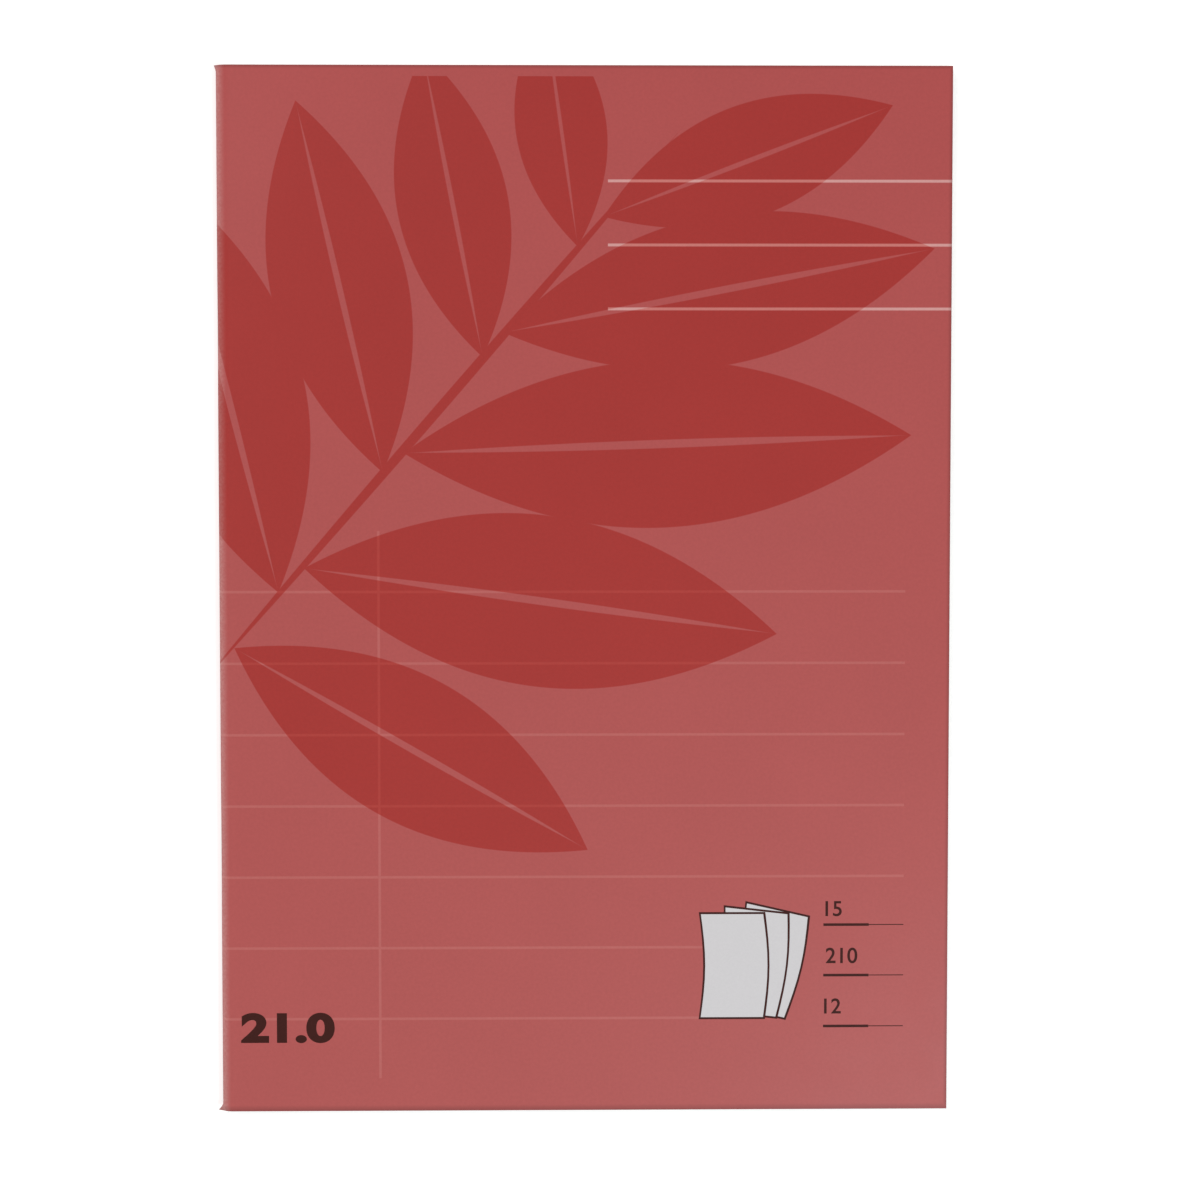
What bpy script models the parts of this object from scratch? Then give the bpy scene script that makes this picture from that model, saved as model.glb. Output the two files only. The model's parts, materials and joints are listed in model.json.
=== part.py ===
"""A stapled A5 exercise booklet, closed and lying on its back cover.

A folded card cover wraps nested folded sheets, and two wire staples hold them at the fold.
Every fold is parted along its crease, so the front and back halves of the cover and of each
sheet are pieces of their own, which turn about the outer wire of the staples.
Metres, +Z up. +X runs from the spine to the fore edge and +Y runs to the head.
The origin lies under the middle of the booklet, on the surface that it lies on.
"""

import math

import bmesh
import bpy
import numpy as np

# Page and stock
PAGE_WIDTH = 0.1465
PAGE_HEIGHT = 0.210
SHEET_COUNT = 12
PAPER_THICKNESS = 0.00010
CARD_THICKNESS = 0.00025

# Air between one leaf and the next, between the two middle leaves, and across a crease
LEAF_GAP = 0.000025
CENTRE_GAP = 0.00030
CREASE_GAP = 0.00004

# Staples: one wire each, with a straight crown outside the spine and two clinched legs inside
WIRE_DIAMETER = 0.00045
WIRE_CLEARANCE = 0.00003
WIRE_BEND_RADIUS = 0.00040
CROWN_LENGTH = 0.0125
CLINCH_LENGTH = 0.0045
STAPLE_SPACING = 0.105

# Flat facets in a quarter round of a fold, and in a right-angle bend of the wire
FOLD_STEPS = 4
BEND_STEPS = 4
WIRE_BEVEL_RESOLUTION = 2

# Sizes that follow. Heights count from the middle of the thickness, and X from the hinge line,
# which is the middle of the staples' crowns.
LEAF_COUNT = 2 * SHEET_COUNT
LEAF_PITCH = PAPER_THICKNESS + LEAF_GAP
HALF_THICKNESS = CARD_THICKNESS + SHEET_COUNT * LEAF_PITCH + CENTRE_GAP / 2
WIRE_RADIUS = WIRE_DIAMETER / 2
SPINE_X = WIRE_RADIUS + WIRE_CLEARANCE
FORE_EDGE_X = SPINE_X + PAGE_WIDTH
FOLD_CENTRE_X = SPINE_X + HALF_THICKNESS
CLINCH_X = FOLD_CENTRE_X - CENTRE_GAP / 2 + WIRE_CLEARANCE + WIRE_RADIUS
HINGE_LINE = ((WIRE_RADIUS - FORE_EDGE_X) / 2, 0.0, HALF_THICKNESS)

# The slot at a staple ends in the air between two leaves, clear of the wire
WIRE_ROOM = WIRE_RADIUS + WIRE_CLEARANCE
LEAVES_PARTED = math.ceil((WIRE_ROOM + LEAF_GAP / 2 - CENTRE_GAP / 2) / LEAF_PITCH)
SLOT_HALF_HEIGHT = CENTRE_GAP / 2 + LEAVES_PARTED * LEAF_PITCH - LEAF_GAP / 2
SLOT_HALF_LENGTH = CROWN_LENGTH / 2 + WIRE_ROOM
SLOT_END_X = CLINCH_X + WIRE_ROOM

# Front pieces lie above the middle of the thickness and back pieces below it
FRONT = 1
BACK = -1


def remove_everything():
    for thing in list(bpy.data.objects):
        bpy.data.objects.remove(thing, do_unlink=True)


def make_material(name, colour, roughness, metallic=0.0):
    material = bpy.data.materials.new(name)
    material.use_nodes = True
    shader = material.node_tree.nodes["Principled BSDF"]
    shader.inputs["Base Color"].default_value = (*colour, 1.0)
    shader.inputs["Roughness"].default_value = roughness
    shader.inputs["Metallic"].default_value = metallic
    return material


def add_object(name, data, material, parent):
    """An object whose own origin is on the hinge line, turning with its parent."""
    thing = bpy.data.objects.new(name, data)
    bpy.context.scene.collection.objects.link(thing)
    thing.parent = parent
    if parent is None:
        thing.location = HINGE_LINE
    if material is not None:
        data.materials.append(material)
    return thing


def fold_arc(radius):
    """Corners of a quarter round about the fold's centre, from the crease to the flat.

    The corners stand at even angles, so all folds nest. The first one slides along its facet
    to half the crease gap above the middle, clear of the other half of the same fold.
    """
    angles = np.linspace(0.0, math.pi / 2, FOLD_STEPS + 1)
    x = FOLD_CENTRE_X - radius * np.cos(angles)
    z = radius * np.sin(angles)
    share = CREASE_GAP / 2 / z[1]
    x[0] += share * (x[1] - x[0])
    z[0] = CREASE_GAP / 2
    return list(zip(x, z))


def half_outline(outer_height, thickness):
    """Section across the spine of one half of a folded piece: round at the fold, then flat."""
    inner_height = outer_height - thickness
    fore_edge = [(FORE_EDGE_X, outer_height), (FORE_EDGE_X, inner_height)]
    return fold_arc(outer_height) + fore_edge + fold_arc(inner_height)[::-1]


def half_mesh(name, outer_height, thickness, side):
    """The section drawn at the tail edge and extruded to the head edge."""
    model = bmesh.new()
    tail, head = -PAGE_HEIGHT / 2, PAGE_HEIGHT / 2
    outline = half_outline(outer_height, thickness)
    section = model.faces.new([model.verts.new((x, tail, side * z)) for x, z in outline])
    grown = bmesh.ops.extrude_face_region(model, geom=[section])["geom"]
    corners = [part for part in grown if isinstance(part, bmesh.types.BMVert)]
    bmesh.ops.translate(model, verts=corners, vec=(0.0, head - tail, 0.0))
    bmesh.ops.recalc_face_normals(model, faces=model.faces)
    mesh = bpy.data.meshes.new(name)
    model.to_mesh(mesh)
    model.free()
    return mesh


def add_folded_half(name, outer_height, thickness, side, material, parent, slots):
    """One half of the cover or of a sheet, slotted at the crease for the staples."""
    mesh = half_mesh(name, outer_height, thickness, side)
    piece = add_object(name, mesh, material, parent)
    cut = piece.modifiers.new("staple_slots", "BOOLEAN")
    cut.operation = "DIFFERENCE"
    cut.solver = "EXACT"
    cut.object = slots
    return piece


def add_staple_slots():
    """The cutter: a box round the wire at each staple, from the hinge line past the clinch."""
    model = bmesh.new()
    size = (SLOT_END_X, 2 * SLOT_HALF_LENGTH, 2 * SLOT_HALF_HEIGHT)
    for side in (FRONT, BACK):
        box = bmesh.ops.create_cube(model, size=1.0)["verts"]
        bmesh.ops.scale(model, vec=size, verts=box)
        middle = (SLOT_END_X / 2, side * STAPLE_SPACING / 2, 0.0)
        bmesh.ops.translate(model, vec=middle, verts=box)
    mesh = bpy.data.meshes.new("staple_slots")
    model.to_mesh(mesh)
    model.free()
    slots = add_object("staple_slots", mesh, None, None)
    slots.hide_render = True
    slots.display_type = "WIRE"
    return slots


def bend(centre_x, centre_y, first, last):
    """Points round a bend of the wire between two angles in degrees."""
    angles = np.radians(np.linspace(first, last, BEND_STEPS + 1))
    x = centre_x + WIRE_BEND_RADIUS * np.cos(angles)
    y = centre_y + WIRE_BEND_RADIUS * np.sin(angles)
    return list(zip(x, y))


def staple_path():
    """The wire's middle line, from one clinched end round the crown to the other."""
    leg_y = CROWN_LENGTH / 2
    bend_y = leg_y - WIRE_BEND_RADIUS
    half = [(CLINCH_X, leg_y - CLINCH_LENGTH)]
    half += bend(CLINCH_X - WIRE_BEND_RADIUS, bend_y, 0, 90)
    half += bend(WIRE_BEND_RADIUS, bend_y, 90, 180)
    return half + [(x, -y) for x, y in half[::-1]]


def add_staple(name, middle_y, material, parent):
    path = staple_path()
    wire = bpy.data.curves.new(name, "CURVE")
    wire.dimensions = "3D"
    wire.bevel_depth = WIRE_RADIUS
    wire.bevel_resolution = WIRE_BEVEL_RESOLUTION
    wire.use_fill_caps = True
    line = wire.splines.new("POLY")
    line.points.add(len(path) - 1)
    for point, (x, y) in zip(line.points, path):
        point.co = (x, middle_y + y, 0.0, 1.0)
    return add_object(name, wire, material, parent)


def leaf_height(number):
    """Outer height of a leaf above or below the middle, with leaf 1 next to the front cover."""
    sheet = min(number, LEAF_COUNT + 1 - number)
    return HALF_THICKNESS - CARD_THICKNESS - LEAF_GAP - (sheet - 1) * LEAF_PITCH


def main():
    remove_everything()
    printed_card = make_material("printed_card", (0.42, 0.089, 0.085), 0.55)
    writing_paper = make_material("writing_paper", (0.83, 0.83, 0.80), 0.85)
    steel_wire = make_material("steel_wire", (0.62, 0.62, 0.60), 0.35, 1.0)

    slots = add_staple_slots()
    below = add_folded_half(
        "back_cover", HALF_THICKNESS, CARD_THICKNESS, BACK, printed_card, None, slots
    )
    # From the back cover up, each leaf is carried by the one below it
    leaves = {}
    for number in range(LEAF_COUNT, 0, -1):
        side = FRONT if number <= SHEET_COUNT else BACK
        below = add_folded_half(
            f"leaf_{number:02d}",
            leaf_height(number),
            PAPER_THICKNESS,
            side,
            writing_paper,
            below,
            slots,
        )
        leaves[number] = below
    add_folded_half("front_cover", HALF_THICKNESS, CARD_THICKNESS, FRONT, printed_card, below, slots)

    # The clinched legs hold to the back leaf of the middle sheet
    middle_leaf = leaves[SHEET_COUNT + 1]
    add_staple("upper_staple", STAPLE_SPACING / 2, steel_wire, middle_leaf)
    add_staple("lower_staple", -STAPLE_SPACING / 2, steel_wire, middle_leaf)


main()
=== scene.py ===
"""Looks for a stapled A5 exercise booklet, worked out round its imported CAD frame.

The file is laid out as a Blender add-on and run as a script. Lengths are in metres.
A section across the spine counts x from the hinge line and z from the middle of the thickness.
On a page, x also counts from the hinge line, and y from the tail edge up to the head.
"""

import json
import math

import bmesh
import bpy
import numpy as np
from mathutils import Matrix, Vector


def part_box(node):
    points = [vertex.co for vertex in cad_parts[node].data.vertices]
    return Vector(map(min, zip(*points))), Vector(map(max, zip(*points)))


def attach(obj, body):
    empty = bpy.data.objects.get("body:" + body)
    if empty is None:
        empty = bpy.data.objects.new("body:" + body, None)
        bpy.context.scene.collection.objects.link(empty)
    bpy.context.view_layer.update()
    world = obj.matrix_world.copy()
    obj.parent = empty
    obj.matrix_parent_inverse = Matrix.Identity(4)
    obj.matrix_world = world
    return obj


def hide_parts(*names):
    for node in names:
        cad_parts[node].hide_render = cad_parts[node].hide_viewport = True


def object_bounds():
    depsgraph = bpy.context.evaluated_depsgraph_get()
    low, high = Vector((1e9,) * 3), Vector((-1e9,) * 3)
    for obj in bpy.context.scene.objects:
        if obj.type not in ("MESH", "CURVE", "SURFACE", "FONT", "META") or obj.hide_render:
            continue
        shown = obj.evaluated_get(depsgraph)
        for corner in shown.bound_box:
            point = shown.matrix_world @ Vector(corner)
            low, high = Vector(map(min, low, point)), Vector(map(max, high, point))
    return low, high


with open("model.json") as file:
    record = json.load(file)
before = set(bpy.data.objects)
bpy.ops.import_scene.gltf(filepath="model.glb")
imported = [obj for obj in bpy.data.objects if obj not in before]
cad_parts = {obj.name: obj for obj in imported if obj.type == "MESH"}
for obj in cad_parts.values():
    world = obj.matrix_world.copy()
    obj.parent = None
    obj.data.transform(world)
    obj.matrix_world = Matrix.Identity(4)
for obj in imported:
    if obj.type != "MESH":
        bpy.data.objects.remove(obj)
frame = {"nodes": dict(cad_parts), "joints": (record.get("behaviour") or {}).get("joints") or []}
CAD_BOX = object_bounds()

bl_info = {
    "name": "Stapled exercise booklet",
    "version": (1, 0, 0),
    "blender": (4, 5, 0),
    "location": "View3D > Sidebar > Booklet",
    "description": "Makes the card cover, the ruled leaves, the staples and the stage",
    "category": "Object",
}

MM = 0.001
FRONT = 1
BACK = -1

# Places that the CAD frame gives
HINGE_X, _, MIDDLE_Z = frame["joints"][0]["pos_m"]
COVER_LOW, COVER_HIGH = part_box("front_cover")
HALF_THICKNESS = COVER_HIGH.z - MIDDLE_Z
FOLD_CENTRE = COVER_LOW.x - HINGE_X + HALF_THICKNESS
FORE_EDGE = COVER_HIGH.x - HINGE_X
TAIL = COVER_LOW.y
PAGE_HEIGHT = COVER_HIGH.y - COVER_LOW.y
LEAF_COUNT = sum(name.startswith("leaf_") for name in frame["nodes"])
SHEET_COUNT = LEAF_COUNT // 2
STAPLES = ("upper_staple", "lower_staple")
STAPLE_MIDDLES = [(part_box(name)[0].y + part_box(name)[1].y) / 2 for name in STAPLES]


def linear(code):
    """An sRGB hex colour as linear RGBA."""
    s = np.array([int(code[i : i + 2], 16) for i in (1, 3, 5)]) / 255
    rgb = np.where(s <= 0.04045, s / 12.92, ((s + 0.055) / 1.055) ** 2.4)
    return (*rgb.tolist(), 1.0)


def length(name, default, description):
    """A size that a user would change."""
    return bpy.props.FloatProperty(
        name=name, description=description, default=default, min=0.0, unit="LENGTH", precision=5
    )


def colour(name, code, description):
    """A colour that a user would change, from its sRGB hex code."""
    return bpy.props.FloatVectorProperty(
        name=name,
        description=description,
        default=linear(code),
        size=4,
        min=0.0,
        max=1.0,
        subtype="COLOR",
    )


class BookletSizes(bpy.types.PropertyGroup):
    """Sizes of the stock, the fold, the ruling and the wire."""

    card_thickness: length("Card", 0.25 * MM, "Thickness of the cover card")
    paper_thickness: length("Paper", 0.10 * MM, "Thickness of a leaf")
    crease_overlap: length("Crease overlap", 0.25 * MM, "How far a cover half tucks past the crease")
    tail_ear: length("Tail ear", 0.90 * MM, "How far the fold flares out where its tail was trimmed")
    head_ear: length("Head ear", 0.40 * MM, "How far the fold flares out where its head was trimmed")
    wire_diameter: length("Wire", 0.45 * MM, "Diameter of the staple wire")
    rule_pitch: length("Rule pitch", 14.4 * MM, "Distance from one ruled line to the next")
    first_rule: length("First rule", 18.8 * MM, "Lowest ruled line above the tail edge")
    margin: length("Margin", 32.0 * MM, "Margin line from the hinge line")
    rule_width: length("Rule width", 0.50 * MM, "Width of a ruled line on the cover")
    page_rule_width: length("Page rule width", 0.30 * MM, "Width of a ruled line on a leaf")


class BookletColours(bpy.types.PropertyGroup):
    """Colours of the print, the stock, the wire and the floor."""

    # The print grows lighter from head to tail; that change is painted light
    cover_head: colour("Cover, head", "#A84847", "Cover print at the head edge")
    cover_tail: colour("Cover, tail", "#AB5250", "Cover print at the tail edge")
    motif: colour("Motif ink", "#EE9E94", "Clear red ink of the leaf spray, which deepens the print")
    # Its pale on the fold is worn ink and partly a painted highlight
    reserve: colour("Title lines", "#FFE0DC", "Light ink of the title lines and of the worn fold")
    rule: colour("Cover rule", "#FFBEB5", "Thin light ink of the cover's ruling and margin line")
    ink: colour("Dark ink", "#3B1A16", "Numbers, underlines and outlines")
    sign: colour("Sheet sign", "#CECCCE", "Fill of the sheet sign")
    inside: colour("Inside", "#E9E6DF", "Uncoated inside of the cover")
    card_edge: colour("Card edge", "#C99F98", "Cut edge of the cover card")
    paper: colour("Paper", "#EFEDE6", "Writing paper")
    # Whiter than the paper's face: painted light that lifts the shade on the cut edges
    paper_edge: colour("Paper edge", "#F6F2EA", "Cut edge of the leaves")
    page_rule: colour("Page rule", "#9FB2C6", "Ruled lines on the leaves")
    page_margin: colour("Page margin", "#D59A98", "Margin line on the leaves")
    wire: colour("Wire", "#B4B4AE", "Galvanised staple wire")
    floor: colour("Floor", "#E7E7E7", "Paper that the booklet lies on")


# The Mix node's settings for one colour laid over another or printed through it, and its sockets
OVER = {"data_type": "RGBA", "blend_type": "MIX"}
THROUGH = {"data_type": "RGBA", "blend_type": "MULTIPLY"}
SHARE, UNDER, UPPER = 0, 6, 7
MIXED = 2

# Most of a noise lies between these values, and a line's edge fades over this width on each side
NOISE_RANGE = {"From Min": 0.3, "From Max": 0.7}
LINE_SOFT = 0.08 * MM


def add(tree, kind, inputs=None, **settings):
    """Adds a node with its settings, sets or links its inputs, and returns its outputs."""
    node = tree.nodes.new("ShaderNode" + kind)
    for key, value in settings.items():
        setattr(node, key, value)
    for key, value in (inputs or {}).items():
        if isinstance(value, bpy.types.NodeSocket):
            tree.links.new(value, node.inputs[key])
        else:
            node.inputs[key].default_value = value
    return node.outputs


def new_material(name):
    """A material with an empty node tree, and that tree."""
    material = bpy.data.materials.new(name)
    material.use_nodes = True
    material.node_tree.nodes.clear()
    return material, material.node_tree


def page_place(tree):
    """Object coordinates as x from the hinge line and y from the tail edge, and as a vector."""
    place = add(tree, "TexCoord")["Object"]
    corner = (HINGE_X, TAIL, MIDDLE_Z)
    page = add(tree, "VectorMath", {0: place, 1: corner}, operation="SUBTRACT")["Vector"]
    parts = add(tree, "SeparateXYZ", {"Vector": page})
    return parts["X"], parts["Y"], page


def line_mask(tree, position, line, half_width):
    """1 where a position is within the half width of a line, falling to 0 over a soft edge."""
    away = add(tree, "Math", {0: position, 1: line}, operation="SUBTRACT")[0]
    distance = add(tree, "Math", {0: away}, operation="ABSOLUTE")[0]
    limits = {"From Min": half_width + LINE_SOFT, "From Max": half_width - LINE_SOFT}
    return add(tree, "MapRange", {"Value": distance, **limits})[0]


def ruling(tree, y, first, pitch, count, width):
    """Even lines: the mask of whichever of count lines, a pitch apart from the first, is nearest."""
    above = add(tree, "Math", {0: y, 1: first}, operation="SUBTRACT")[0]
    share = add(tree, "Math", {0: above, 1: pitch}, operation="DIVIDE")[0]
    nearest = add(tree, "Math", {0: share}, operation="ROUND")[0]
    number = add(tree, "Clamp", {"Value": nearest, "Min": 0.0, "Max": count - 1.0})[0]
    line = add(tree, "Math", {0: number, 1: pitch, 2: first}, operation="MULTIPLY_ADD")[0]
    return line_mask(tree, y, line, width / 2)


def grain(tree, place, size, low, high, detail=2.0):
    """Noise with features of a real size, spread between two values."""
    noise = add(tree, "TexNoise", {"Vector": place, "Scale": 1 / size, "Detail": detail})[0]
    spread = {**NOISE_RANGE, "To Min": low, "To Max": high}
    return add(tree, "MapRange", {"Value": noise, **spread})[0]


def darkened(tree, tone, amount):
    """A colour times a grey amount that varies over the surface."""
    grey = add(tree, "CombineColor", {0: amount, 1: amount, 2: amount})[0]
    return add(tree, "Mix", {SHARE: 1.0, UNDER: tone, UPPER: grey}, **THROUGH)[MIXED]


# Leaf spray on the cover, in millimetres and degrees: foot x, foot y, direction, length, fullness.
# Fullness is the half width at the middle as a share of the length. The first one is the stem.
SPRAY = (
    (-6, 84, 49, 152, 0.007),
    (3, 94, -30, 82, 0.180),
    (12, 105, 104, 84, 0.185),
    (17, 110, -8, 96, 0.180),
    (33, 129, 103, 76, 0.180),
    (37, 133, 2, 102, 0.165),
    (53, 152, 101, 62, 0.180),
    (57, 157, 11, 88, 0.170),
    (72, 174, 98, 48, 0.190),
    (77, 180, 21, 62, 0.180),
)
RIB_FULLNESS = 0.009
SPRAY_SOFT = 0.16
SPRAY_TOP = 207.8 * MM


def leaf_spray(tree, page, y):
    """A spray of plain leaves, each lens shaped: |v| < 4 k u (1 - u), with u along the leaf.

    k is the fullness. A thinner lens of the same kind leaves the rib of each leaf open, and the
    whole spray stops at a line just below the head edge.
    """
    spray = 0.0
    for foot_x, foot_y, direction, reach, fullness in SPRAY:
        settings = {
            "Vector": page,
            "Location": (foot_x * MM, foot_y * MM, 0.0),
            "Rotation": (0.0, 0.0, math.radians(direction)),
            "Scale": (reach * MM, reach * MM, 1.0),
        }
        along = add(tree, "Mapping", settings, vector_type="TEXTURE")[0]
        parts = add(tree, "SeparateXYZ", {"Vector": along})
        rest = add(tree, "Math", {0: 1.0, 1: parts["X"]}, operation="SUBTRACT")[0]
        arch = add(tree, "Math", {0: parts["X"], 1: rest}, operation="MULTIPLY")[0]
        across = add(tree, "Math", {0: parts["Y"]}, operation="ABSOLUTE")[0]
        lenses = []
        for share in (fullness, RIB_FULLNESS):
            edge = add(tree, "Math", {0: arch, 1: 4 * share}, operation="MULTIPLY")[0]
            inside = add(tree, "Math", {0: edge, 1: across}, operation="SUBTRACT")[0]
            steep = {0: inside, 1: reach / SPRAY_SOFT}
            lenses.append(add(tree, "Math", steep, operation="MULTIPLY", use_clamp=True)[0])
        blade, rib = lenses
        if fullness > RIB_FULLNESS:
            blade = add(tree, "Math", {0: blade, 1: rib}, operation="SUBTRACT", use_clamp=True)[0]
        spray = add(tree, "Math", {0: spray, 1: blade}, operation="MAXIMUM")[0]
    below_top = add(tree, "Math", {0: y, 1: SPRAY_TOP}, operation="LESS_THAN")[0]
    return add(tree, "Math", {0: spray, 1: below_top}, operation="MULTIPLY")[0]


# The cover's light lines, and how strongly their ink covers
RULE_COUNT = 7
RULE_END = 137.8 * MM
RULE_END_AT_SIGN = 98.0 * MM
RULE_STRENGTH = 0.080
SIGN_TOP = 41.0 * MM
MARGIN_TOP = 117.4 * MM
MARGIN_FOOT = 6.7 * MM
TITLE_COUNT = 3
TITLE_FIRST = 161.75 * MM
TITLE_PITCH = 12.7 * MM
TITLE_START = 78.0 * MM
TITLE_WIDTH = 0.55 * MM
TITLE_STRENGTH = 0.34
TITLE_TINT = 0.62


def cover_ruling(tree, x, y, sizes):
    """How strongly the light ink of the ruling and the margin line covers.

    The rules end short of the fore edge, and the low ones end before the sheet sign.
    """
    rules = ruling(tree, y, sizes.first_rule, sizes.rule_pitch, RULE_COUNT, sizes.rule_width)
    above_sign = add(tree, "Math", {0: y, 1: SIGN_TOP}, operation="GREATER_THAN")[0]
    ends = {"To Min": RULE_END_AT_SIGN, "To Max": RULE_END}
    end = add(tree, "MapRange", {"Value": above_sign, **ends})[0]
    before_end = add(tree, "Math", {0: x, 1: end}, operation="LESS_THAN")[0]
    rules = add(tree, "Math", {0: rules, 1: before_end}, operation="MULTIPLY")[0]
    margin = line_mask(tree, x, sizes.margin, sizes.rule_width / 2)
    middle = (MARGIN_TOP + MARGIN_FOOT) / 2
    between_ends = line_mask(tree, y, middle, MARGIN_TOP - middle)
    margin = add(tree, "Math", {0: margin, 1: between_ends}, operation="MULTIPLY")[0]
    lines = add(tree, "Math", {0: rules, 1: margin}, operation="MAXIMUM")[0]
    return add(tree, "Math", {0: lines, 1: RULE_STRENGTH}, operation="MULTIPLY")[0]


def title_lines(tree, x, y):
    """How strongly the light ink of the title lines covers, from their start to the fore edge."""
    lines = ruling(tree, y, TITLE_FIRST, TITLE_PITCH, TITLE_COUNT, TITLE_WIDTH)
    started = add(tree, "Math", {0: x, 1: TITLE_START}, operation="GREATER_THAN")[0]
    lines = add(tree, "Math", {0: lines, 1: started}, operation="MULTIPLY")[0]
    return add(tree, "Math", {0: lines, 1: TITLE_STRENGTH}, operation="MULTIPLY")[0]


# Painted shade and wear of the cover: widths of the rim along the trimmed edges where shade is painted,
# with the light that its edge keeps, and reach and strength of the pale ink along the fold, worn and
# partly a painted highlight, and of the dull coating there
RIM_SHADE_WIDTH = 0.75 * MM
TAIL_RIM_SHADE_WIDTH = 1.20 * MM
RIM_SHADE_LIGHT = 0.62
FOLD_WEAR_AND_HIGHLIGHT = 2.0 * MM
WEAR_AND_HIGHLIGHT_STRENGTH = 0.25
WEAR_AND_HIGHLIGHT_UNDER_SPRAY = 0.65
FOLD_DULL = 3.2 * MM
DULL_STRENGTH = 0.22


def painted_rim_shade(tree, x, y):
    """Painted shade along the trimmed edges: how much light the print keeps, which falls evenly within
    a narrow rim of them.

    The rim is wider at the tail, so distances to that edge count for less.
    """
    to_head = add(tree, "Math", {0: PAGE_HEIGHT, 1: y}, operation="SUBTRACT")[0]
    to_fore = add(tree, "Math", {0: FORE_EDGE, 1: x}, operation="SUBTRACT")[0]
    to_tail = add(tree, "Math", {0: y, 1: RIM_SHADE_WIDTH / TAIL_RIM_SHADE_WIDTH}, operation="MULTIPLY")[0]
    to_edge = add(tree, "Math", {0: to_head, 1: to_fore}, operation="MINIMUM")[0]
    to_edge = add(tree, "Math", {0: to_edge, 1: to_tail}, operation="MINIMUM")[0]
    rim_shade = {"From Max": RIM_SHADE_WIDTH, "To Min": RIM_SHADE_LIGHT, "To Max": 1.0}
    return add(tree, "MapRange", {"Value": to_edge, **rim_shade})[0]


# Grains of the finishes: width of their features, least and most of the value, layers of detail.
# Ink grain, fibres and the card's tooth are drawn coarser than real, so that they show.
CARD_CLOUD = (25 * MM, 0.985, 1.015)
CARD_INK = (0.6 * MM, 0.97, 1.03)
CARD_GLOSS = (8 * MM, 0.34, 0.38)
CARD_TOOTH = (0.35 * MM, 0.0, 1.0)
WEAR_AND_HIGHLIGHT_FLECKS = (0.5 * MM, 0.5, 1.0)
INSIDE_FIBRE = (0.5 * MM, 0.97, 1.02, 4.0)
INSIDE_CLOUD = (6 * MM, 0.985, 1.01)
CARD_STREAKS = (25 * MM, 0.85, 1.04, 3.0)
PAPER_STREAKS = (25 * MM, 0.82, 1.04, 3.0)
PAPER_FIBRE = (0.45 * MM, 0.975, 1.015, 4.0)
PAPER_CLOUD = (7 * MM, 0.985, 1.01)
RULE_FLECKS = (0.4 * MM, 0.45, 0.75)
WIRE_STREAKS = (1.0 * MM, 0.0, 1.0)
WIRE_TONE = (1.0 * MM, 0.82, 1.0)
DARK_INK = (0.3 * MM, 0.92, 1.08)
GREY_INK = (0.3 * MM, 0.98, 1.02)
INK_SHEEN = (2 * MM, 0.36, 0.44)


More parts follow.
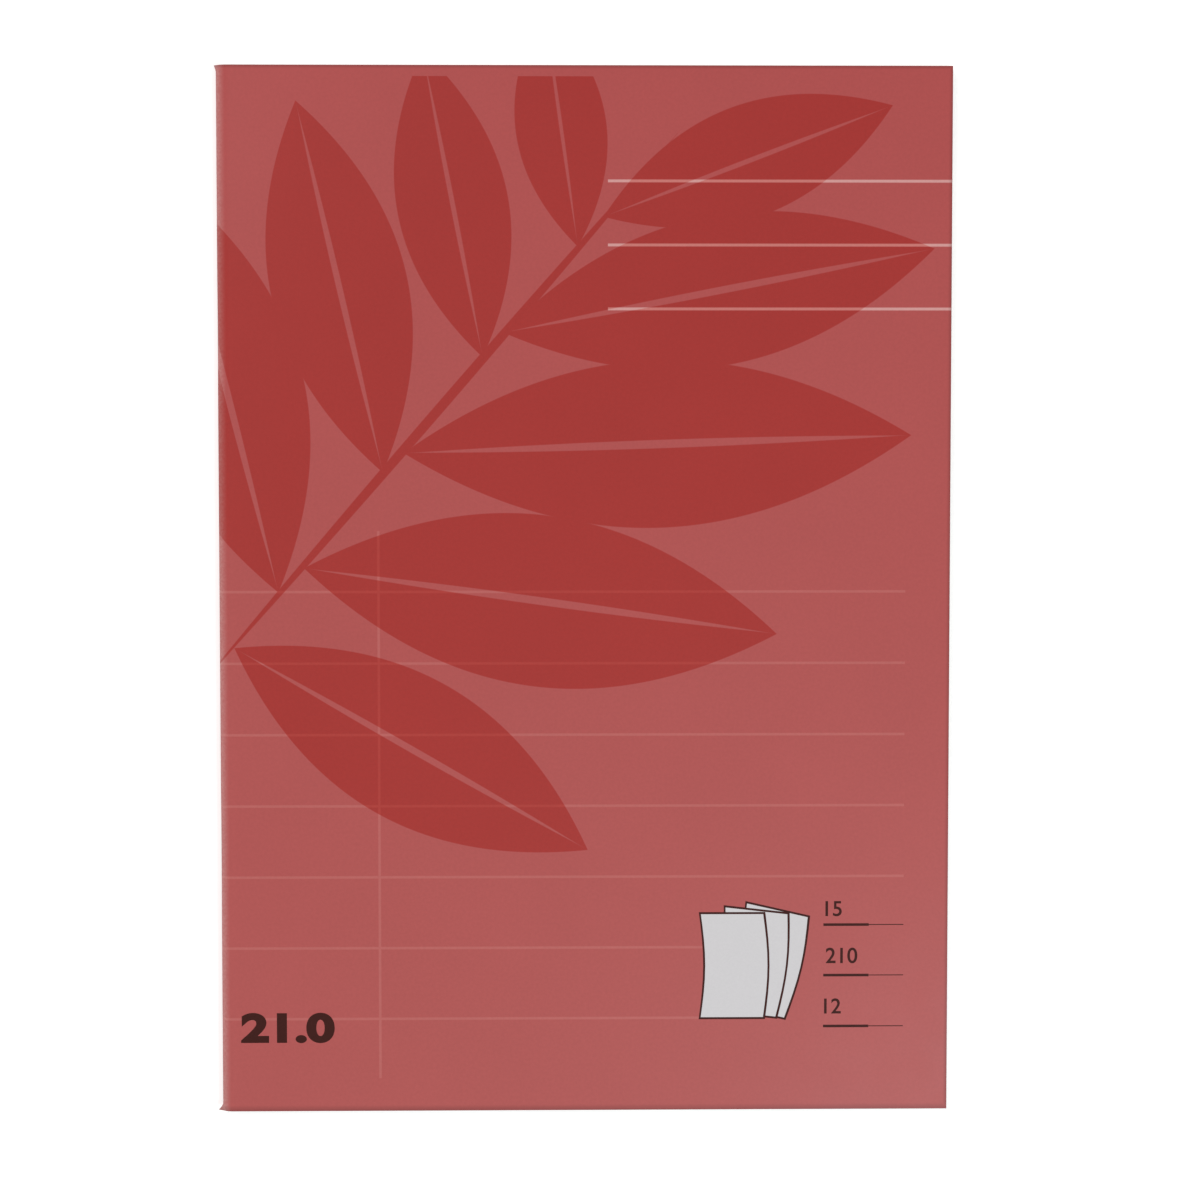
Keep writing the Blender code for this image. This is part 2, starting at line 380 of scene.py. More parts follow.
def coated_card(name, sizes, colours, printed):
    """Coated card, offset printed: semi-matt, a fine grain in the ink, print lighter towards the tail
    as painted light, painted shade along the trimmed edges, and a fold where the ink has gone pale,
    worn and partly a painted highlight."""
    material, tree = new_material(name)
    x, y, page = page_place(tree)
    pale = tuple(colours.reserve)
    # The red lighter towards the tail is painted light
    painted_light_rise = add(tree, "MapRange", {"Value": y, "From Max": PAGE_HEIGHT})[0]
    tones = {UNDER: tuple(colours.cover_tail), UPPER: tuple(colours.cover_head)}
    tone = add(tree, "Mix", {SHARE: painted_light_rise, **tones}, **OVER)[MIXED]
    if printed:
        lines = cover_ruling(tree, x, y, sizes)
        light = tuple(colours.rule)
        tone = add(tree, "Mix", {SHARE: lines, UNDER: tone, UPPER: light}, **OVER)[MIXED]
        spray = leaf_spray(tree, page, y)
        clear = tuple(colours.motif)
        tone = add(tree, "Mix", {SHARE: spray, UNDER: tone, UPPER: clear}, **THROUGH)[MIXED]
        # The spray's ink lies thinly over the title lines too
        tint = add(tree, "Math", {0: spray, 1: TITLE_TINT}, operation="MULTIPLY")[0]
        light = add(tree, "Mix", {SHARE: tint, UNDER: pale, UPPER: clear}, **THROUGH)[MIXED]
        lines = title_lines(tree, x, y)
        tone = add(tree, "Mix", {SHARE: lines, UNDER: tone, UPPER: light}, **OVER)[MIXED]
    tone = darkened(tree, tone, grain(tree, page, *CARD_CLOUD))
    tone = darkened(tree, tone, grain(tree, page, *CARD_INK))
    # Painted shade along the trimmed edges
    tone = darkened(tree, tone, painted_rim_shade(tree, x, y))
    # Ink worn pale along the fold, in flecks, and partly a painted highlight on the fold
    fold = {"From Min": FOLD_WEAR_AND_HIGHLIGHT, "From Max": 0.0, "To Max": WEAR_AND_HIGHLIGHT_STRENGTH}
    worn_and_highlit = add(tree, "MapRange", {"Value": x, **fold}, interpolation_type="SMOOTHSTEP")[0]
    flecks = grain(tree, page, *WEAR_AND_HIGHLIGHT_FLECKS)
    worn_and_highlit = add(tree, "Math", {0: worn_and_highlit, 1: flecks}, operation="MULTIPLY")[0]
    if printed:
        # The spray's second ink hides part of the wear and of the painted highlight
        hidden = {"To Min": 1.0, "To Max": WEAR_AND_HIGHLIGHT_UNDER_SPRAY}
        left = add(tree, "MapRange", {"Value": spray, **hidden})[0]
        worn_and_highlit = add(tree, "Math", {0: worn_and_highlit, 1: left}, operation="MULTIPLY")[0]
    tone = add(tree, "Mix", {SHARE: worn_and_highlit, UNDER: tone, UPPER: pale}, **OVER)[MIXED]
    # The coating is cracked there too, so that it glints less
    cracks = {"From Min": FOLD_DULL, "From Max": FOLD_WEAR_AND_HIGHLIGHT, "To Max": DULL_STRENGTH}
    dull = add(tree, "MapRange", {"Value": x, **cracks})[0]
    gloss = grain(tree, page, *CARD_GLOSS)
    tooth = {"Height": grain(tree, page, *CARD_TOOTH), "Strength": 0.12, "Distance": 0.01 * MM}
    settings = {
        "Base Color": tone,
        "Roughness": add(tree, "Math", {0: gloss, 1: dull}, operation="ADD")[0],
        "IOR": 1.34,
        "Normal": add(tree, "Bump", tooth)[0],
    }
    add(tree, "OutputMaterial", {"Surface": add(tree, "BsdfPrincipled", settings)[0]})
    return material


def plain_card(name, colours):
    """Uncoated card: matt and white, with fibres that cloud it a little."""
    material, tree = new_material(name)
    _, _, page = page_place(tree)
    fibre = grain(tree, page, *INSIDE_FIBRE)
    tone = darkened(tree, tuple(colours.inside), fibre)
    bump = {"Height": fibre, "Strength": 0.2, "Distance": 0.02 * MM}
    settings = {
        "Base Color": darkened(tree, tone, grain(tree, page, *INSIDE_CLOUD)),
        "Roughness": 0.8,
        "IOR": 1.45,
        "Normal": add(tree, "Bump", bump)[0],
    }
    add(tree, "OutputMaterial", {"Surface": add(tree, "BsdfPrincipled", settings)[0]})
    return material


# Streaks on a cut edge are a hundred times longer than thick, and on the wire twenty times. Those of
# the edge come out two leaves thick, because one leaf is too thin to show.
EDGE_SQUEEZE = (1.0, 1.0, 100.0)
WIRE_SQUEEZE = (20.0, 1.0, 20.0)


def cut_edge(name, tone, streaks):
    """A guillotined edge: matt, its leaves told apart by streaks that run along the edge."""
    material, tree = new_material(name)
    _, _, page = page_place(tree)
    along = add(tree, "Mapping", {"Vector": page, "Scale": EDGE_SQUEEZE})[0]
    streak = grain(tree, along, *streaks)
    bump = {"Height": streak, "Strength": 0.3, "Distance": 0.03 * MM}
    settings = {
        "Base Color": darkened(tree, tuple(tone), streak),
        "Roughness": 0.9,
        "IOR": 1.45,
        "Normal": add(tree, "Bump", bump)[0],
    }
    add(tree, "OutputMaterial", {"Surface": add(tree, "BsdfPrincipled", settings)[0]})
    return material


PAGE_RULE_COUNT = 13
PAGE_MARGIN_WIDTH = 0.35 * MM


def ruled_paper(name, sizes, colours):
    """Uncoated writing paper: matt, off-white, faintly clouded fibre, ruled in thin pale ink."""
    material, tree = new_material(name)
    x, y, page = page_place(tree)
    fibre = grain(tree, page, *PAPER_FIBRE)
    tone = darkened(tree, tuple(colours.paper), fibre)
    tone = darkened(tree, tone, grain(tree, page, *PAPER_CLOUD))
    pitch, width = sizes.rule_pitch, sizes.page_rule_width
    rules = ruling(tree, y, sizes.first_rule, pitch, PAGE_RULE_COUNT, width)
    margin = line_mask(tree, x, sizes.margin, PAGE_MARGIN_WIDTH / 2)
    # Ink takes unevenly on rough paper
    flecks = grain(tree, page, *RULE_FLECKS)
    for lines, ink in ((rules, colours.page_rule), (margin, colours.page_margin)):
        taken = add(tree, "Math", {0: lines, 1: flecks}, operation="MULTIPLY")[0]
        tone = add(tree, "Mix", {SHARE: taken, UNDER: tone, UPPER: tuple(ink)}, **OVER)[MIXED]
    bump = {"Height": fibre, "Strength": 0.2, "Distance": 0.015 * MM}
    settings = {
        "Base Color": tone,
        "Roughness": 0.85,
        "IOR": 1.45,
        "Normal": add(tree, "Bump", bump)[0],
    }
    add(tree, "OutputMaterial", {"Surface": add(tree, "BsdfPrincipled", settings)[0]})
    return material


def drawn_wire(name, colours):
    """Galvanised steel wire: bright, drawn through a die that leaves streaks along it."""
    material, tree = new_material(name)
    place = add(tree, "TexCoord")["Object"]
    along = add(tree, "Mapping", {"Vector": place, "Scale": WIRE_SQUEEZE})[0]
    streak = grain(tree, along, *WIRE_STREAKS)
    bump = {"Height": streak, "Strength": 0.15, "Distance": 0.01 * MM}
    polish = {"To Min": 0.26, "To Max": 0.42}
    settings = {
        "Base Color": darkened(tree, tuple(colours.wire), grain(tree, along, *WIRE_TONE)),
        "Metallic": 1.0,
        "Roughness": add(tree, "MapRange", {"Value": streak, **polish})[0],
        "Normal": add(tree, "Bump", bump)[0],
    }
    add(tree, "OutputMaterial", {"Surface": add(tree, "BsdfPrincipled", settings)[0]})
    return material


def offset_ink(name, tone, pinholes):
    """Offset printing ink: a thin dull film, with pinholes where the card's grain shows."""
    material, tree = new_material(name)
    _, _, page = page_place(tree)
    settings = {
        "Base Color": darkened(tree, tuple(tone), grain(tree, page, *pinholes)),
        "Roughness": grain(tree, page, *INK_SHEEN),
        "IOR": 1.38,
        "Specular IOR Level": 0.14,
    }
    add(tree, "OutputMaterial", {"Surface": add(tree, "BsdfPrincipled", settings)[0]})
    return material


# Faces that meet at more than this angle are shaded apart
SHARP_ANGLE = math.radians(35)


def shell(outer, inner, slots=(0, 0, 0), flip=False):
    """A closed shell between two grids of points of one shape: both faces and the rim between them.

    Rows run away from the hinge line and columns run to the head. slots holds the material of the
    outer face, one for each cell or one for all, of the inner face, of the rim, and of the rim at
    the crease where that is another one.
    """
    rows, columns = outer.shape[:2]
    points = np.concatenate([outer.reshape(-1, 3), inner.reshape(-1, 3)])
    top = np.arange(rows * columns).reshape(rows, columns)
    quads = []
    loops = []
    for grid in (top, top + rows * columns):
        corners = (grid[:-1, :-1], grid[1:, :-1], grid[1:, 1:], grid[:-1, 1:])
        quads.append(np.stack(corners, -1).reshape(-1, 4))
        sides = (grid[:-1, 0], grid[-1, :-1], grid[:0:-1, -1], grid[0, :0:-1])
        loops.append(np.concatenate(sides))
    ahead = [np.roll(loop, -1) for loop in loops]
    rim = np.stack([loops[1], ahead[1], ahead[0], loops[0]], -1)
    faces = np.concatenate([quads[0], quads[1][:, ::-1], rim])
    if flip:
        faces = faces[:, ::-1]
    rim_slots = np.full(len(rim), slots[2])
    rim_slots[1 - columns :] = slots[-1]
    face_slots = [
        np.broadcast_to(slots[0], (rows - 1, columns - 1)).ravel(),
        np.full(len(quads[1]), slots[1]),
        rim_slots,
    ]
    return points, [faces], np.concatenate(face_slots)


def make_piece(name, parts, materials):
    """One object from parts, each of points, blocks of like faces and a material slot for each face."""
    faces = []
    start = 0
    for points, blocks, _ in parts:
        for block in blocks:
            faces += (block + start).tolist()
        start += len(points)
    mesh = bpy.data.meshes.new(name)
    mesh.from_pydata(np.concatenate([part[0] for part in parts]), [], faces)
    for material in materials:
        mesh.materials.append(material)
    slots = np.concatenate([part[2] for part in parts])
    mesh.polygons.foreach_set("material_index", slots.astype(np.int32))
    mesh.shade_smooth()
    mesh.set_sharp_from_angle(angle=SHARP_ANGLE)
    mesh.update()
    piece = bpy.data.objects.new(name, mesh)
    bpy.context.scene.collection.objects.link(piece)
    return piece


def carry(piece, body, slot, *nodes):
    """The piece moves with a body and stands for CAD nodes, which are hidden; slot is not used."""
    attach(piece, body)
    if nodes:
        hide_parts(*nodes)


# A fold is a quarter ellipse, this much longer across the spine than it is high, so that the
# cover's crease lies on the hinge line and stays shut at every angle
FOLD_STRETCH = FOLD_CENTRE / HALF_THICKNESS
FLAT_STEPS = 6


def fold_section(height, angles):
    """Quarter ellipse about the fold's centre: x falls by the cosine and z grows by the sine."""
    return FOLD_CENTRE - FOLD_STRETCH * height * np.cos(angles), height * np.sin(angles)


def flat_run(end):
    """Even steps of x from the fold's centre to the fore edge."""
    return np.linspace(FOLD_CENTRE, end, FLAT_STEPS + 1)[1:]


def along_spine(x, z, y, side):
    """A section carried along the spine: every point of the section at every y."""
    grid = np.empty((len(x), len(y), 3))
    grid[..., 0] = HINGE_X + x[:, None]
    grid[..., 1] = TAIL + y[None, :]
    grid[..., 2] = MIDDLE_Z + side * z[:, None]
    return grid


# The cover's grid, its tuck past the crease, its trimming ears and its dent at each staple
COVER_FOLD_STEPS = 20
COVER_STATIONS = 61
OVERLAP_STEPS = 3
OVERLAP_TUCK = 0.02 * MM
EAR_STEPS = 5
EAR_REACH = 1.3 * MM
EAR_POWER = 1.5
STAPLE_DENT = 0.07 * MM
DENT_REACH = 8.0 * MM
FLARE_HEIGHT = 0.75 * MM


def cover_face(height, y, side, sizes):
    """One face of a cover half, as a grid of points.

    The section starts past the crease, tucked under the other half by a share that grows with the
    angle, then follows the fold's ellipse and runs flat to the fore edge. Near the tail and the
    head the crease flares out by (1 - distance / reach) to a power, and each staple pulls it in by
    a bell curve of the distance from the staple's middle. Both fade by a bell curve of z.
    """
    tuck_angle = math.asin(sizes.crease_overlap / height)
    tucked = np.linspace(-tuck_angle, 0.0, OVERLAP_STEPS + 1)[:-1]
    angles = np.concatenate([tucked, np.linspace(0.0, math.pi / 2, COVER_FOLD_STEPS + 1)])
    x, z = fold_section(height, angles)
    x += OVERLAP_TUCK * np.clip(-angles / tuck_angle, 0.0, 1.0)
    run = flat_run(FORE_EDGE)
    x = np.concatenate([x, run])
    z = np.concatenate([z, np.full(len(run), height)])
    grid = along_spine(x, z, y, side)
    ear = sizes.tail_ear * np.clip(1 - y / EAR_REACH, 0, 1) ** EAR_POWER
    ear += sizes.head_ear * np.clip(1 - (PAGE_HEIGHT - y) / EAR_REACH, 0, 1) ** EAR_POWER
    dent = sum(np.exp(-(((TAIL + y - middle) / DENT_REACH) ** 2)) for middle in STAPLE_MIDDLES)
    near = np.exp(-(((grid[..., 2] - MIDDLE_Z) / FLARE_HEIGHT) ** 2))
    near *= grid[..., 0] < HINGE_X + FOLD_CENTRE
    grid[..., 0] += (STAPLE_DENT * dent - ear)[None, :] * near
    return grid


class BOOKLET_OT_cover(bpy.types.Operator):
    """Make the two halves of the printed card cover"""

    bl_idname = "booklet.cover"
    bl_label = "Cover"

    def execute(self, context):
        sizes = context.scene.booklet_sizes
        colours = context.scene.booklet_colours
        inside = plain_card("uncoated_card_inside", colours)
        edge = cut_edge("cut_card_edge", colours.card_edge, CARD_STREAKS)
        ends = np.linspace(0.0, EAR_REACH, EAR_STEPS + 1)
        between = np.linspace(0.0, PAGE_HEIGHT, COVER_STATIONS)[1:-1]
        y = np.concatenate([ends, between, PAGE_HEIGHT - ends[::-1]])
        for node, side in (("front_cover", FRONT), ("back_cover", BACK)):
            printed = coated_card("coated_card_" + node, sizes, colours, side == FRONT)
            outer = cover_face(HALF_THICKNESS, y, side, sizes)
            inner = cover_face(HALF_THICKNESS - sizes.card_thickness, y, side, sizes)
            # The tucked rows show only in the open gutter, so they are white, but not in the ears
            outer_slots = np.zeros((outer.shape[0] - 1, outer.shape[1] - 1), int)
            outer_slots[:OVERLAP_STEPS, EAR_STEPS:-EAR_STEPS] = 1
            part = shell(outer, inner, (outer_slots, 1, 2, 1), side == BACK)
            piece = make_piece(node + "_card", [part], [printed, inside, edge])
            carry(piece, node, "printed_card", node)
        return {"FINISHED"}


LEAF_FOLD_STEPS = 10
LEAF_STATIONS = 9
# Lips, thin as a film, carry each leaf on from its fold to the cover's crease
LIP_END = 0.30 * MM
LIP_PITCH = 0.002 * MM
LIP_THICKNESS = 0.001 * MM
# Past the first step of the flat, the leaves settle until the air between the middle ones closes
SETTLE = 0.14 * MM
TRIM_SPREAD = 0.06 * MM
TRIM_SEED = 7


def leaf_face(height, lip, drop, run, y, side):
    """One face of a leaf, as a grid of points.

    The section starts as a flat lip, meets the fold's ellipse at the lip's height, follows it up to
    the face's own height, and then runs to the fore edge, lower by a drop.
    """
    angles = np.linspace(math.asin(lip / height), math.pi / 2, LEAF_FOLD_STEPS + 1)
    x, z = fold_section(height, angles)
    x = np.concatenate([[LIP_END], x, run])
    z = np.concatenate([[lip], z, np.full(len(run), height - drop)])
    return along_spine(x, z, y, side)


class BOOKLET_OT_leaves(bpy.types.Operator):
    """Make the ruled leaves, each from its lip at the crease to the fore edge"""

    bl_idname = "booklet.leaves"
    bl_label = "Leaves"

    def execute(self, context):
        sizes = context.scene.booklet_sizes
        colours = context.scene.booklet_colours
        ruled = ruled_paper("ruled_writing_paper", sizes, colours)
        edge = cut_edge("cut_paper_edge", colours.paper_edge, PAPER_STREAKS)
        trim = np.random.default_rng(TRIM_SEED).uniform(0.0, TRIM_SPREAD, LEAF_COUNT)
        y = np.linspace(0.0, PAGE_HEIGHT, LEAF_STATIONS)
        for number in range(1, LEAF_COUNT + 1):
            node = f"leaf_{number:02d}"
            side = FRONT if number <= SHEET_COUNT else BACK
            low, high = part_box(node)
            height = high.z - MIDDLE_Z if side == FRONT else MIDDLE_Z - low.z
            sheet = min(number, LEAF_COUNT + 1 - number)
            lip = (SHEET_COUNT - sheet) * LIP_PITCH + LIP_THICKNESS
            drop = SETTLE * sheet / SHEET_COUNT
            run = flat_run(FORE_EDGE - trim[number - 1])
            outer = leaf_face(height, lip + LIP_THICKNESS, drop, run, y, side)
            inner = leaf_face(height - sizes.paper_thickness, lip, drop, run, y, side)
            part = shell(outer, inner, (0, 0, 1), side == BACK)
            piece = make_piece(node + "_paper", [part], [ruled, edge])
            carry(piece, node, "writing_paper", node)
        return {"FINISHED"}


# Corners of a staple's wire. The crown lies just inside the hinge line, the legs dip below the
# middle, and the clinched ends arch up a little from the elbow before their tips point down.
BEND_STEPS = 6
WIRE_SIDES = 14
WIRE_BEND = 0.36 * MM
CROWN_X = 0.24 * MM
CROWN_HALF = 6.25 * MM
LEG_START = 0.70 * MM
LEG_END = 1.81 * MM
LEG_DROP = 0.24 * MM
CLINCH_X = 2.26 * MM
CLINCH_LENGTH = 4.5 * MM
ELBOW_DROP = 0.04 * MM
ARCH_SHARE = 0.7
ARCH_DROP = 0.02 * MM
TIP_DROP = 0.10 * MM


def staple_corners():
    """Corners of the wire about the staple's middle: one half, and its mirror image in y."""
    half = np.array(
        [
            (CLINCH_X, CROWN_HALF - CLINCH_LENGTH, -TIP_DROP),
            (CLINCH_X, CROWN_HALF - ARCH_SHARE * CLINCH_LENGTH, -ARCH_DROP),
            (CLINCH_X, CROWN_HALF, -ELBOW_DROP),
            (LEG_END, CROWN_HALF, -LEG_DROP),
            (LEG_START, CROWN_HALF, -LEG_DROP),
            (CROWN_X, CROWN_HALF, 0.0),
        ]
    )
    return np.concatenate([half, half[::-1] * (1, -1, 1)])


def rounded_line(corners, radius):
    """A line through corner points, each inner corner rounded by a parabola.

    A corner becomes (1-t)^2 a + 2 t (1-t) c + t^2 b, with a and b one radius before and after it.
    """
    step = np.diff(corners, axis=0)
    unit = step / np.linalg.norm(step, axis=1, keepdims=True)
    room = np.minimum(radius, np.linalg.norm(step, axis=1) / 2)
    corner = corners[1:-1, None, :]
    before = corner - (unit[:-1] * room[:-1, None])[:, None, :]
    after = corner + (unit[1:] * room[1:, None])[:, None, :]
    t = np.linspace(0.0, 1.0, BEND_STEPS + 1)[None, :, None]
    bends = (1 - t) ** 2 * before + 2 * t * (1 - t) * corner + t**2 * after
    return np.concatenate([corners[:1], bends.reshape(-1, 3), corners[-1:]])


def wire_part(line, radius):
    """A round wire: a circle carried square to the line, with both ends closed."""
    tangent = np.gradient(line, axis=0)
    tangent /= np.linalg.norm(tangent, axis=1, keepdims=True)
    across = np.cross(tangent, (0.0, 0.0, 1.0))
    across /= np.linalg.norm(across, axis=1, keepdims=True)
    up = np.cross(across, tangent)
    turn = np.linspace(0.0, 2 * math.pi, WIRE_SIDES, endpoint=False)[None, :, None]
    rings = line[:, None] + radius * (np.cos(turn) * across[:, None] + np.sin(turn) * up[:, None])
    index = np.arange(len(line) * WIRE_SIDES).reshape(len(line), WIRE_SIDES)
    around = np.roll(index, -1, axis=1)
    sides = np.stack([index[:-1], index[1:], around[1:], around[:-1]], -1).reshape(-1, 4)
    caps = np.stack([index[0], index[-1, ::-1]])
    return rings.reshape(-1, 3), [sides, caps], np.zeros(len(sides) + len(caps))


class BOOKLET_OT_staples(bpy.types.Operator):
    """Make the two wire staples, crown outside the fold and legs clinched on the middle leaf"""

    bl_idname = "booklet.staples"
    bl_label = "Staples"

    def execute(self, context):
        radius = context.scene.booklet_sizes.wire_diameter / 2
        wire = drawn_wire("galvanised_steel_wire", context.scene.booklet_colours)
        middle_leaf = f"leaf_{SHEET_COUNT + 1:02d}"
        for node, middle in zip(STAPLES, STAPLE_MIDDLES):
            corners = staple_corners() + (HINGE_X, middle, MIDDLE_Z)
            part = wire_part(rounded_line(corners, WIRE_BEND), radius)
            piece = make_piece(node + "_wire", [part], [wire])
            carry(piece, middle_leaf, "steel_wire", node)
        return {"FINISHED"}


# Ink films are drawn thicker than real, so that they stay clear of the card
INK = 0.004 * MM
FILM_GRID = (3, 9)
# Numbers on the front cover: text, and left, foot, right and head of its box in millimetres.
# Weight and depth of a glyph, and the distance within which its corners join, are in font sizes.
LARGE_NUMBER = ("21.0", 3.9, 13.9, 22.8, 20.1)
LARGE_WEIGHT = 0.045
SMALL_NUMBERS = (
    ("15", 122.0, 39.4, 125.3, 42.5),
    ("210", 122.1, 29.8, 128.5, 33.0),
    ("12", 121.8, 19.55, 125.2, 22.65),
)
SMALL_WEIGHT = 0.012
GLYPH_DEPTH = 0.01
GLYPH_JOIN = 1e-5
# Underlines in millimetres: their places, and left, right and half width of the thick and the thin
# stretch of each, which stay a hair apart
UNDERLINES = (37.7, 27.4, 17.0)
STRETCHES = ((121.6, 130.79, 0.27), (130.8, 137.8, 0.09))
# Sheets of the sign in millimetres and degrees: foot x, foot y, lean
SIGN_SHEETS = ((101.4, 21.6, -13.0), (99.4, 20.4, -6.5), (96.8, 18.9, 0.0))
SIGN_WIDTH = 12.6
SIGN_HEIGHT = 21.0
SIGN_LINE = 0.42
SIGN_BOW = 0.9


def ink_film(corners, layer, bow=0.0):
    """A film of ink over four corners: a bilinear patch of u and v, bowed by sin(pi v) along u.

    corners run tail left, tail right, head right, head left. layer counts ink films upwards.
    """
    u, v = np.meshgrid(*(np.linspace(0, 1, count) for count in FILM_GRID), indexing="ij")
    weights = np.stack([(1 - u) * (1 - v), u * (1 - v), u * v, (1 - u) * v], -1)
    flat = weights @ np.asarray(corners, float)
    flat[..., 0] += bow * np.sin(math.pi * v)
    top = np.empty((*FILM_GRID, 3))
    top[..., 0] = HINGE_X + flat[..., 0] * MM
    top[..., 1] = TAIL + flat[..., 1] * MM
    top[..., 2] = COVER_HIGH.z + layer * INK
    base = top.copy()
    base[..., 2] = COVER_HIGH.z
    return top, base


def glyph_mesh(text, weight):
    """Text set in Blender's own font and made a mesh.

    Its front, sides and back come apart there, so they are joined into a closed film.
    """
    curve = bpy.data.curves.new("setting", "FONT")
    curve.body = text
    curve.offset = weight
    curve.extrude = GLYPH_DEPTH
    setting = bpy.data.objects.new("setting", curve)
    bpy.context.scene.collection.objects.link(setting)
    bpy.context.view_layer.update()
    finished = setting.evaluated_get(bpy.context.evaluated_depsgraph_get())
    mesh = bpy.data.meshes.new_from_object(finished)
    bpy.data.objects.remove(setting)
    bpy.data.curves.remove(curve)
    model = bmesh.new()
    model.from_mesh(mesh)
    bmesh.ops.remove_doubles(model, verts=model.verts, dist=GLYPH_JOIN)
    bmesh.ops.recalc_face_normals(model, faces=model.faces)
    model.to_mesh(mesh)
    model.free()
    mesh.shade_flat()
    return mesh


def ink_number(name, number, weight, material):
    """A printed number: its points are moved and scaled from the text's box to its box on the cover."""
    text, left, foot, right, head = number
    mesh = glyph_mesh(text, weight)
    points = np.empty(len(mesh.vertices) * 3, np.float32)
    mesh.vertices.foreach_get("co", points)
    points = points.reshape(-1, 3)
    low, high = points.min(0), points.max(0)
    start = np.array([HINGE_X + left * MM, TAIL + foot * MM, COVER_HIGH.z])
    end = np.array([HINGE_X + right * MM, TAIL + head * MM, COVER_HIGH.z + INK])
    points = start + (points - low) / (high - low) * (end - start)
    mesh.vertices.foreach_set("co", points.astype(np.float32).ravel())
    mesh.materials.clear()
    mesh.materials.append(material)
    mesh.name = name
    mesh.update()
    piece = bpy.data.objects.new(name, mesh)
    bpy.context.scene.collection.objects.link(piece)
    carry(piece, "front_cover", "printed_card")


def sheet_corners(sheet, grow):
    """Corners of a sign sheet, leaning about its tail left corner and grown by its outline."""
    foot_x, foot_y, lean = sheet
    near, right, top = -grow, SIGN_WIDTH + grow, SIGN_HEIGHT + grow
    flat = np.array([(near, near), (right, near), (right, top), (near, top)])
    c, s = math.cos(math.radians(lean)), math.sin(math.radians(lean))
    return flat @ np.array([[c, s], [-s, c]]) + (foot_x, foot_y)


class BOOKLET_OT_print(bpy.types.Operator):
    """Print the plain numbers, their underlines and the sheet sign on the front cover"""

    bl_idname = "booklet.print"
    bl_label = "Numbers and sign"

    def execute(self, context):
        colours = context.scene.booklet_colours
        ink = offset_ink("dark_offset_ink", colours.ink, DARK_INK)
        grey = offset_ink("grey_offset_ink", colours.sign, GREY_INK)
        ink_number("large_number", LARGE_NUMBER, LARGE_WEIGHT, ink)
        for number in SMALL_NUMBERS:
            ink_number("small_number_" + number[0], number, SMALL_WEIGHT, ink)
        parts = []
        for y in UNDERLINES:
            for left, right, half in STRETCHES:
                box = ((left, y - half), (right, y - half), (right, y + half), (left, y + half))
                parts.append(shell(*ink_film(box, 1)))
        carry(make_piece("number_underlines", parts, [ink]), "front_cover", "printed_card")
        parts = []
        for layer, sheet in enumerate(SIGN_SHEETS):
            outline = ink_film(sheet_corners(sheet, SIGN_LINE), 2 * layer + 1, SIGN_BOW)
            fill = ink_film(sheet_corners(sheet, 0.0), 2 * layer + 2, SIGN_BOW)
            parts += [shell(*outline), shell(*fill, (1, 1, 1))]
        carry(make_piece("sheet_sign", parts, [ink, grey]), "front_cover", "printed_card")
        return {"FINISHED"}


WHITE = (1.0, 1.0, 1.0, 1.0)
FLOOR_SIZE = 12.0
FLOOR_DROP = 0.05 * MM
# The lamps fade with distance, so the floor's own lift grows to keep it white
NEAR_FLOOR = 0.25
NEAR_LIFT = 0.39
FAR_FLOOR = 1.2
FAR_LIFT = 0.64
ROOM_LIGHT = 0.50
# Softboxes: name, place, side, power and colour. The cool one glints at the tail's fore corner.
LAMPS = (
    ("key_softbox", (-0.7, 0.7, 1.3), 0.9, 11.0, "#FFF9F5"),
    ("fill_softbox", (0.8, -0.6, 1.2), 0.9, 4.4, "#FFF9F5"),
    ("gloss_softbox", (0.163, -0.256, 0.5), 0.08, 0.45, "#DAF1FA"),
)
# The camera that the photograph's four cover corners give, for a square picture: its place, its turn
# in degrees, and its focal length as a share of the sensor's width
CAMERA_PLACE = (-0.00921, 0.03421, 0.59996)
CAMERA_TURN = (-3.2409, -1.0049, -0.0129)
LENS_SHARE = 2.5199
SENSOR = 36.0
CLIP_START = 0.01


def seen_directly(tree):
    """1 for camera, glossy and transmission rays, which see the plain white background."""
    path = add(tree, "LightPath")
    bounced = {0: path["Is Glossy Ray"], 1: path["Is Transmission Ray"]}
    mirrored = add(tree, "Math", bounced, operation="MAXIMUM")[0]
    return add(tree, "Math", {0: path["Is Camera Ray"], 1: mirrored}, operation="MAXIMUM")[0]


def lay_floor(colours):
    """A square of white paper, matt, which looks evenly white and keeps the booklet's shadow."""
    material, tree = new_material("white_paper_floor")
    place = add(tree, "TexCoord")["Object"]
    away = add(tree, "VectorMath", {0: place}, operation="LENGTH")["Value"]
    reach = {"From Min": NEAR_FLOOR, "From Max": FAR_FLOOR}
    lifts = {"To Min": NEAR_LIFT, "To Max": FAR_LIFT}
    lift = add(tree, "MapRange", {"Value": away, **reach, **lifts})[0]
    lift = add(tree, "Math", {0: lift, 1: seen_directly(tree)}, operation="MULTIPLY")[0]
    glow = add(tree, "Emission", {"Color": WHITE, "Strength": lift})[0]
    matt = add(tree, "BsdfDiffuse", {"Color": tuple(colours.floor)})[0]
    add(tree, "OutputMaterial", {"Surface": add(tree, "AddShader", {0: matt, 1: glow})[0]})
    corners = np.array([(-1, -1, 0), (1, -1, 0), (1, 1, 0), (-1, 1, 0)]) * FLOOR_SIZE
    corners[:, 2] = CAD_BOX[0].z - FLOOR_DROP
    part = (corners, [np.array([(0, 1, 2, 3)])], np.zeros(1))
    make_piece("floor", [part], [material])


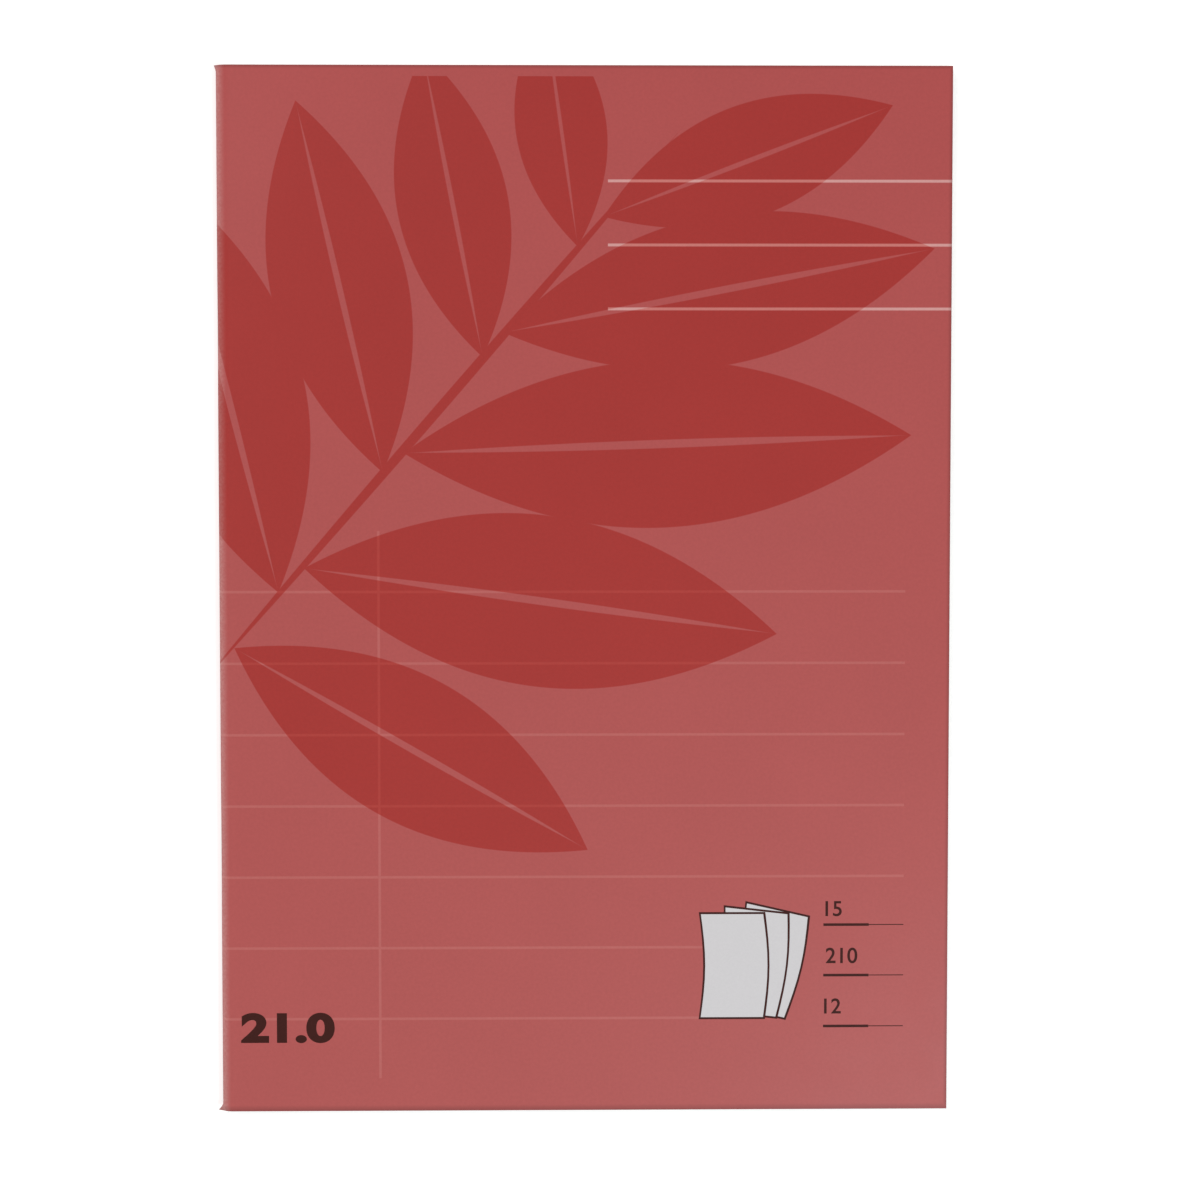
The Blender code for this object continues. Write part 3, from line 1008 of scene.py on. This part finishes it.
def light_room(scene):
    """An even pale room, white where it is seen directly."""
    world = bpy.data.worlds.new("soft_room")
    world.use_nodes = True
    tree = world.node_tree
    tree.nodes.clear()
    levels = {"To Min": ROOM_LIGHT, "To Max": 1.0}
    strength = add(tree, "MapRange", {"Value": seen_directly(tree), **levels})[0]
    sky = add(tree, "Background", {"Color": WHITE, "Strength": strength})[0]
    add(tree, "OutputWorld", {"Surface": sky})
    scene.world = world


def hang_lamps(scene):
    """Square softboxes, all aimed at the point under the booklet's middle."""
    for name, place, side, power, tint in LAMPS:
        lamp = bpy.data.lights.new(name, "AREA")
        lamp.size = side
        lamp.energy = power
        lamp.color = linear(tint)[:3]
        light = bpy.data.objects.new(name, lamp)
        light.location = place
        aim = -light.location.normalized()
        light.rotation_euler = aim.to_track_quat("-Z", "Y").to_euler()
        scene.collection.objects.link(light)


def place_camera(scene):
    """The camera at the photograph's viewing angle."""
    lens = bpy.data.cameras.new("camera")
    lens.sensor_fit = "HORIZONTAL"
    lens.sensor_width = SENSOR
    lens.lens = SENSOR * LENS_SHARE
    lens.clip_start = CLIP_START
    camera = bpy.data.objects.new("camera", lens)
    camera.location = CAMERA_PLACE
    camera.rotation_euler = [math.radians(angle) for angle in CAMERA_TURN]
    scene.collection.objects.link(camera)
    scene.camera = camera


class BOOKLET_OT_stage(bpy.types.Operator):
    """Make the pale floor, the soft light and the camera"""

    bl_idname = "booklet.stage"
    bl_label = "Stage"

    def execute(self, context):
        scene = context.scene
        scene.view_settings.view_transform = "Standard"
        lay_floor(scene.booklet_colours)
        light_room(scene)
        hang_lamps(scene)
        place_camera(scene)
        return {"FINISHED"}


STEPS = (
    BOOKLET_OT_stage,
    BOOKLET_OT_cover,
    BOOKLET_OT_leaves,
    BOOKLET_OT_staples,
    BOOKLET_OT_print,
)


class BOOKLET_PT_panel(bpy.types.Panel):
    """Lists the booklet's makers, sizes and colours"""

    bl_idname = "BOOKLET_PT_panel"
    bl_label = "Exercise booklet"
    bl_space_type = "VIEW_3D"
    bl_region_type = "UI"
    bl_category = "Booklet"

    def draw(self, context):
        for step in STEPS:
            self.layout.operator(step.bl_idname)
        for group in (context.scene.booklet_sizes, context.scene.booklet_colours):
            box = self.layout.box()
            for name in group.__annotations__:
                box.prop(group, name)


CLASSES = (BookletSizes, BookletColours, *STEPS, BOOKLET_PT_panel)


def register():
    for cls in CLASSES:
        bpy.utils.register_class(cls)
    bpy.types.Scene.booklet_sizes = bpy.props.PointerProperty(type=BookletSizes)
    bpy.types.Scene.booklet_colours = bpy.props.PointerProperty(type=BookletColours)


def unregister():
    del bpy.types.Scene.booklet_colours
    del bpy.types.Scene.booklet_sizes
    for cls in reversed(CLASSES):
        bpy.utils.unregister_class(cls)


def main():
    register()
    bpy.ops.booklet.stage()
    bpy.ops.booklet.cover()
    bpy.ops.booklet.leaves()
    bpy.ops.booklet.staples()
    bpy.ops.booklet.print()


if __name__ == "__main__":
    main()
